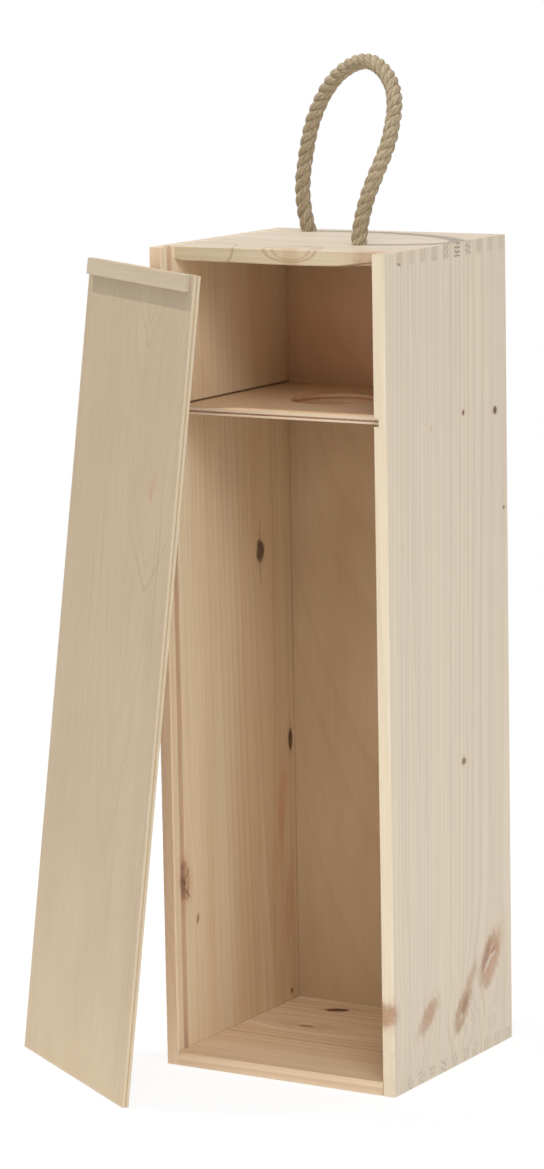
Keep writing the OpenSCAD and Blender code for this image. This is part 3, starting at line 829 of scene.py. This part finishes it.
def build_top_board():
    """A copy of the CAD board's mesh, merged, cut into strips and lowered near its front."""
    solid = bmesh.new()
    solid.from_mesh(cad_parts["top_panel"].data)
    bmesh.ops.remove_doubles(solid, verts=solid.verts[:], dist=1e-6)
    bmesh.ops.dissolve_limit(solid, angle_limit=0.01, verts=solid.verts[:], edges=solid.edges[:])
    cut_strips(solid)
    bmesh.ops.triangulate(solid, faces=solid.faces[:])
    mesh = bpy.data.meshes.new("top_board")
    solid.to_mesh(mesh)
    solid.free()
    points = np.empty(len(mesh.vertices) * 3)
    mesh.vertices.foreach_get("co", points)
    points = points.reshape(-1, 3) / MM
    points[:, 2], rim = lowered(*points.T)
    mesh.vertices.foreach_set("co", (points * MM).ravel().astype(np.float32))
    mesh.update()
    mesh.attributes.new("lower_edge", "FLOAT", "POINT").data.foreach_set("value", rim.astype(np.float32))
    mesh.materials.append(top_wood)
    board = bpy.data.objects.new("top_board", mesh)
    bpy.context.scene.collection.objects.link(board)
    return board


top_board = build_top_board()
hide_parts("top_panel")
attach(top_board, "box")
print("top board:", len(top_board.data.polygons), "faces")

# %% [markdown]
# ## Rope
#
# A hemp rope is laid from three strands, and each strand is twisted the other way from many
# yarns. A tube with a bump would look right from afar, but its outline would be straight, so each
# strand is a surface of its own. The strands lie on a helix round the rope's middle line, and each
# strand's outline carries its yarns as low ridges on a second, opposite helix. The middle line is
# the measured route, from the underside of the top board through one hole, round the loop, and
# back into the other.

# %% The rope's route
ROPE_THICK = 7.0
ROUTE = np.array([
    (-34, 41, 354), (-34, 41, 360), (-35.2, 40.4, 367), (-36.1, 40, 375.8), (-35.9, 40.1, 383.7),
    (-34.8, 40.4, 391.7), (-33.2, 40.4, 399.6), (-30.8, 40, 407.4), (-27.1, 39.2, 414.9),
    (-22, 37.7, 422.1), (-14.8, 35.1, 428.6), (-5.1, 30.9, 433.6), (7.9, 23.4, 435.6),
    (19.8, 15.2, 431.8), (27.5, 8.8, 425.4), (31.4, 3.5, 418.1), (32.7, -0.9, 410.8),
    (32.7, -4.3, 403.5), (31.4, -7.3, 396.5), (29.3, -9.8, 389.5), (27.1, -11.6, 382.5),
    (25.2, -12.9, 375.2), (23.7, -13.7, 367.6), (23, -14, 360), (23, -14, 354)])
UP, DOWN = (0, 0, 1), (0, 0, -1)


def along_line(line):
    """The distance from the start to each point of a line."""
    return np.concatenate([[0], np.cumsum(np.linalg.norm(np.diff(line, axis=0), axis=1))])


def smooth_route(points, step=0.5, samples=900):
    """Cubic Hermite curve through the points, straight in both holes, set out again at even steps."""
    knots = along_line(points)
    slopes = np.gradient(points, knots, axis=0)
    slopes[[0, 1, -2, -1]] = UP, UP, DOWN, DOWN
    at = np.linspace(0, knots[-1], samples)
    i = np.clip(np.searchsorted(knots, at, side="right") - 1, 0, len(knots) - 2)
    h = (knots[i + 1] - knots[i])[:, None]
    t = ((at - knots[i]) / h[:, 0])[:, None]
    line = ((2 * t**3 - 3 * t**2 + 1) * points[i] + (t**3 - 2 * t**2 + t) * h * slopes[i]
            + (3 * t**2 - 2 * t**3) * points[i + 1] + (t**3 - t**2) * h * slopes[i + 1])
    length = along_line(line)
    even = np.linspace(0, length[-1], int(length[-1] / step) + 1)
    return np.column_stack([np.interp(even, length, line[:, k]) for k in range(3)]), even


def unit(vectors):
    """The same directions, each one long."""
    return vectors / np.linalg.norm(vectors, axis=1)[:, None]


def square_to(line):
    """Two unit vectors square to the line at each point, carried along with no twist of their own."""
    way = unit(np.gradient(line, axis=0))
    side = np.empty_like(line)
    side[0] = (1, 0, 0)
    for k in range(1, len(line)):
        carried = side[k - 1] - way[k] * (side[k - 1] @ way[k])
        side[k] = carried / np.linalg.norm(carried)
    return side, np.cross(way, side)


rope_line, rope_at = smooth_route(ROUTE)
rope_side, rope_up = square_to(rope_line)
print("rope length:", round(rope_at[-1], 1), "mm")

# %% The three strands
# Thicknesses and lays in mm. A strand's radius goes from HOLLOW between two yarns up by RIDGE on a
# yarn, as shares of its thickness, and LUMP mm either way from place to place.
STRANDS, STRAND_THICK, YARNS, YARN_LAY = 3, 4.0, 7, 12.0
STRAND_OFF = (ROPE_THICK - STRAND_THICK) / 2
# The rope's lay, in mm for one turn, as the photograph shows it at these distances along the rope
LAY_AT, LAY = [0, 75, 92, 118, 135, 206], [15.7, 15.7, 17.0, 16.6, 14.3, 14.3]
HOLLOW, RIDGE, YARN_SHIFT = 0.925, 0.09, 1.3
LUMP, LUMPS = 0.05, 60
ROUND = 42
phi = np.linspace(0, 2 * np.pi, ROUND, endpoint=False)
yarn_turn = phi[None, :] + 2 * np.pi * rope_at[:, None] / YARN_LAY


def strand_points(number):
    """Centre = line + offset * (cos a, sin a), a = 2 pi (sum of ds / lay + number / 3), yarns as ridges."""
    turns = np.concatenate([[0], np.cumsum(np.diff(rope_at) / np.interp(rope_at[1:], LAY_AT, LAY))])
    a = 2 * np.pi * (turns + number / STRANDS)
    out = np.cos(a)[:, None] * rope_side + np.sin(a)[:, None] * rope_up
    centre = rope_line + STRAND_OFF * out
    way = unit(np.gradient(centre, axis=0))
    out = unit(out - way * (out * way).sum(1)[:, None])
    over = np.cross(way, out)
    ridge = np.abs(np.sin(YARNS * yarn_turn / 2 + YARN_SHIFT * number))
    rng = np.random.default_rng(11 + number)
    lumps = np.interp(rope_at, np.linspace(0, rope_at[-1], LUMPS), rng.uniform(-LUMP, LUMP, LUMPS))
    radius = STRAND_THICK / 2 * (HOLLOW + RIDGE * ridge) + lumps[:, None]
    ring = np.cos(phi)[None, :, None] * out[:, None, :] + np.sin(phi)[None, :, None] * over[:, None, :]
    return centre[:, None, :] + radius[..., None] * ring, ridge


def tube_faces(rings, around, first):
    """Quads between neighbouring rings, and one face over each end."""
    i, k = np.meshgrid(np.arange(rings - 1), np.arange(around), indexing="ij")
    a, b = i * around + k, i * around + (k + 1) % around
    quads = np.stack([a, b, b + around, a + around], axis=-1).reshape(-1, 4) + first
    caps = [list(range(first + around - 1, first - 1, -1)),
            list(range(first + (rings - 1) * around, first + rings * around))]
    return quads.tolist() + caps


def build_rope():
    """All three strands in one mesh, with the distance along the rope and round each strand kept."""
    grids, ridges = zip(*(strand_points(number) for number in range(STRANDS)))
    points = np.concatenate([grid.reshape(-1, 3) for grid in grids])
    faces = [face for number in range(STRANDS)
             for face in tube_faces(len(rope_at), ROUND, number * len(rope_at) * ROUND)]
    mesh = bpy.data.meshes.new("rope")
    mesh.from_pydata((points * MM).tolist(), [], faces)
    mesh.shade_smooth()
    turn = np.tile(yarn_turn.ravel(), STRANDS)
    middle = np.tile(np.repeat(rope_line, ROUND, axis=0), (STRANDS, 1))
    depth = np.linalg.norm(points - middle, axis=1) / (ROPE_THICK / 2)
    for name, values in (("yarn_x", np.cos(turn)), ("yarn_y", np.sin(turn)), ("groove_depth", depth),
                         ("along", np.tile(np.repeat(rope_at, ROUND), STRANDS)),
                         ("ridge", np.concatenate([ridge.ravel() for ridge in ridges]))):
        mesh.attributes.new(name, "FLOAT", "POINT").data.foreach_set("value", values.astype(np.float32))
    rope = bpy.data.objects.new("rope", mesh)
    bpy.context.scene.collection.objects.link(rope)
    return rope


rope = build_rope()
print("rope:", len(rope.data.polygons), "faces")

# %% Hemp
# Unbleached hemp, twisted: dull and fibrous. Its hairs run with the yarns, 0.3 mm wide and 1.1 mm
# long, and the grooves between the strands and between the yarns get painted shade.
HAIR_ALONG, HAIR_SCALE = 0.14, 6.7
hemp, tree = new_material("hemp rope")
kept = {name: add(tree, "Attribute", attribute_name=name).outputs["Fac"]
        for name in ("yarn_x", "yarn_y", "along", "groove_depth", "ridge")}
length = add(tree, "Math", kept["along"], HAIR_ALONG, operation="MULTIPLY")
hair = add(tree, "TexNoise", add(tree, "CombineXYZ", kept["yarn_x"], kept["yarn_y"], length), HAIR_SCALE,
           3.0, 0.65)
patch = add(tree, "TexNoise", add(tree, "TexCoord").outputs["Object"], 150.0, 3.0, 0.5)
colour = add(tree, "Mix", add(tree, "MapRange", hair, 0.3, 0.7, 0.0, 1.0), tint("#8F7B5D"),
             tint("#D8C9AC"), data_type="RGBA")
groove_shade = add(tree, "MapRange", kept["groove_depth"], 0.66, 0.92, 0.9, 0.0, interpolation_type="SMOOTHSTEP")
# Spots in the hemp, then painted shade in the hollows between yarns and in the grooves between strands.
for amount, paint in ((add(tree, "MapRange", patch, 0.4, 0.7, 0.0, 0.35), "#8C7450"),
                      (add(tree, "MapRange", kept["ridge"], 0.1, 0.75, 0.7, 0.0), "#7C6746"),
                      (groove_shade, "#654B2E")):
    colour = add(tree, "Mix", amount, colour, tint(paint), data_type="RGBA")
finish_material(tree, colour, 0.8, hair, 0.00028, sheen=0.15)
rope.data.materials.append(hemp)
print("rope is", hemp.name, "with", len(tree.nodes), "nodes")
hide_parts("rope_handle", "rope_ends")
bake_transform(rope)

# %% [markdown]
# ## Floor and light
#
# The box stands on a pale sweep that the camera sees as white. One small warm lamp high at the
# upper left draws the rope's thin shadow on the top board. Three weak large lamps from the right
# and the front, a nearly white room, and a faint glow painted into the floor near the box fill the
# rest. More light would also turn the floor white, but it would bleach the wood, so the floor's
# material shows white to the camera alone.

# %% The floor
# In metres, and as many cells each way. FLOOR_DROP keeps it just under the box.
HALF_WIDE, BEND_FROM, BEND, FLOOR_DROP, CELLS = 30, 22, 12, 0.0005, 40
WHITE, SHADOW_GREY = tint("#FFFFFF"), tint("#767676")


def seen_directly(tree):
    """1 for the camera's rays and for those that mirrors and glass send on, 0 for all light."""
    path = add(tree, "LightPath")
    bright = add(tree, "Math", path.outputs["Is Camera Ray"], path.outputs["Is Glossy Ray"],
                 operation="MAXIMUM")
    return add(tree, "Math", bright, path.outputs["Is Transmission Ray"], operation="MAXIMUM")


def sweep_material():
    """Matt off-white for the light that falls on it, with a painted glow near the box that sends light up
    onto it, and for the camera white with a soft shadow.
    """
    material, tree = new_material("pale sweep")
    away = add(tree, "VectorMath", add(tree, "TexCoord").outputs["Object"], operation="LENGTH")
    far = add(tree, "MapRange", away, 0.25, 1.1, 0.0, 1.0, interpolation_type="SMOOTHSTEP")
    near = add(tree, "AddShader", add(tree, "BsdfDiffuse", SHADOW_GREY),
               add(tree, "Emission", WHITE, 0.87))
    shown = add(tree, "MixShader", far, near, add(tree, "Emission", WHITE, 1.0))
    # A painted glow: near the box the floor gives off light of its own, which lights the box.
    glow_near_box = add(tree, "MapRange", away, 0.15, 0.7, 1.0, 0.0, interpolation_type="SMOOTHSTEP")
    glow_near_box = add(tree, "Math", glow_near_box, 0.3, operation="MULTIPLY")
    table_and_glow = add(tree, "AddShader", add(tree, "BsdfDiffuse", tint("#F2F1EE")),
                add(tree, "Emission", WHITE, glow_near_box))
    add(tree, "OutputMaterial", add(tree, "MixShader", seen_directly(tree), table_and_glow, shown))
    return material


def build_floor():
    """A sheet that lies flat and curves up far off: z = (distance - BEND_FROM)^2 / BEND past the bend."""
    steps = np.linspace(-HALF_WIDE, HALF_WIDE, CELLS + 1)
    x, y = np.meshgrid(steps, steps)
    z = np.clip(np.hypot(x, y) - BEND_FROM, 0, None) ** 2 / BEND - FLOOR_DROP
    i, k = np.meshgrid(np.arange(CELLS), np.arange(CELLS), indexing="ij")
    a = (i * (CELLS + 1) + k).ravel()
    faces = np.stack([a, a + 1, a + CELLS + 2, a + CELLS + 1], axis=-1)
    mesh = bpy.data.meshes.new("floor")
    mesh.from_pydata(np.stack([x, y, z], axis=-1).reshape(-1, 3).tolist(), [], faces.tolist())
    mesh.shade_smooth()
    mesh.materials.append(sweep_material())
    floor = bpy.data.objects.new("floor", mesh)
    bpy.context.scene.collection.objects.link(floor)
    return floor


floor = build_floor()
print("floor:", len(floor.data.polygons), "faces")

# %% Lamps and room


def add_lamp(name, place, aim, size, watts, colour):
    """A square area lamp at place that faces aim."""
    data = bpy.data.lights.new(name, "AREA")
    data.size, data.energy, data.color = size, watts, tint(colour)[:3]
    lamp = bpy.data.objects.new(name, data)
    lamp.location = place
    lamp.rotation_euler = (Vector(place) - Vector(aim)).to_track_quat("Z", "Y").to_euler()
    bpy.context.scene.collection.objects.link(lamp)
    print("lamp", name, watts, "W")


add_lamp("key", (-0.92, -0.18, 2.66), (0, 0, 0.36), 0.05, 36, "#FFF8F0")
add_lamp("right fill", (2.0, -1.1, 1.3), (0, 0, 0.2), 1.2, 10, "#FFFDFB")
add_lamp("front fill", (-0.3, -2.5, 0.6), (0, 0, 0.2), 1.0, 4, "#FFFDFB")
add_lamp("high front right", (1.04, -1.43, 2.1), (0, 0, 0.2), 1.1, 16, "#FFFDFB")
room = bpy.data.worlds.new("room")
bpy.context.scene.world = room
room.use_nodes = True
tree = room.node_tree
tree.nodes.clear()
grey = add(tree, "Background", tint("#F3F4F6"), 0.51)
white = add(tree, "Background", WHITE, 1.0)
add(tree, "OutputWorld", add(tree, "MixShader", seen_directly(tree), grey, white))
bpy.context.scene.view_settings.view_transform = "Standard"
